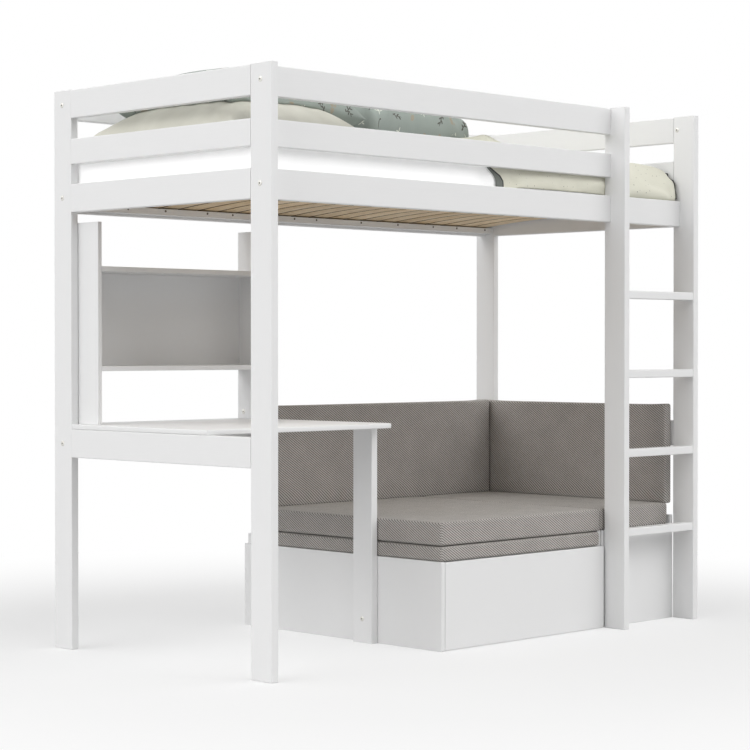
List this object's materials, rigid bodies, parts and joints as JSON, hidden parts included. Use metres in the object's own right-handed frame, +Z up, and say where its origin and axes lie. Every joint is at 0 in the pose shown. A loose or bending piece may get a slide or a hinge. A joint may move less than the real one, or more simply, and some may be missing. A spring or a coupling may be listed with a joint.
{
  "type": "loft bed",
  "caption": "High single bed on plank posts with guard rails and a ladder, over a desk with a wall shelf and an upholstered corner seat with a drawer.",
  "frame": {"origin": "on the floor under the middle of the bed", "axes": "+X along the bed from the desk end to the ladder end, +Y from the front to the wall side, +Z up"},
  "size_m": [2.08, 1.06, 1.8651],
  "materials": {
    "white_lacquer": "satin white lacquer",
    "pine": "bare sanded pine",
    "grey_twill": "herringbone woven cover over foam",
    "white_cover": "matt woven cover",
    "cream_cotton": "matt cotton",
    "sage_print": "matt cotton, small print"
  },
  "bodies": {
    "bed": {"post_front_left": "white_lacquer", "post_back_left": "white_lacquer", "post_front_right": "white_lacquer", "post_back_right": "white_lacquer", "ladder_upright": "white_lacquer", "left_top_rail": "white_lacquer", "left_middle_rail": "white_lacquer", "left_bed_rail": "white_lacquer", "right_top_rail": "white_lacquer", "right_middle_rail": "white_lacquer", "right_bed_rail": "white_lacquer", "left_desk_rail": "white_lacquer", "right_cushion_rail": "white_lacquer", "front_top_rail": "white_lacquer", "back_top_rail": "white_lacquer", "front_middle_rail": "white_lacquer", "back_middle_rail": "white_lacquer", "front_bed_rail": "white_lacquer", "back_bed_rail": "white_lacquer", "ladder_bed_rail": "white_lacquer", "back_desk_rail": "white_lacquer", "ladder_rung_1": "white_lacquer", "ladder_rung_2": "white_lacquer", "ladder_rung_3": "white_lacquer", "ladder_rung_4": "white_lacquer", "front_slat_ledger": "white_lacquer", "back_slat_ledger": "white_lacquer", "slatted_base": "pine", "desk_top": "white_lacquer", "desk_leg": "white_lacquer", "shelf_left_upright": "white_lacquer", "shelf_right_upright": "white_lacquer", "shelf_lower_board": "white_lacquer", "shelf_upper_board": "white_lacquer", "shelf_back_panel": "white_lacquer", "seat_side_panel": "white_lacquer", "seat_deck": "white_lacquer", "seat_back_panel": "white_lacquer", "drawer_runner_left": "white_lacquer", "drawer_runner_right": "white_lacquer", "bench_left_panel": "white_lacquer", "bench_right_panel": "white_lacquer", "bench_front_panel": "white_lacquer", "bench_deck": "white_lacquer", "lower_seat_cushion": "grey_twill", "upper_seat_cushion": "grey_twill", "bench_cushion": "grey_twill", "back_cushion": "grey_twill", "side_cushion": "grey_twill", "mattress": "white_cover", "cream_pillow": "cream_cotton", "duvet": "cream_cotton", "upper_printed_pillow": "sage_print", "side_printed_pillow": "sage_print"},
    "drawer": {"drawer_front": "white_lacquer", "drawer_left_side": "white_lacquer", "drawer_right_side": "white_lacquer", "drawer_bottom": "white_lacquer", "drawer_back": "white_lacquer"}
  },
  "joints": [
    {"name": "drawer_slide", "type": "slide", "parent": "bed", "child": "drawer", "axis": [0, -1, 0], "range_m": [0, 0.6]}
  ]
}
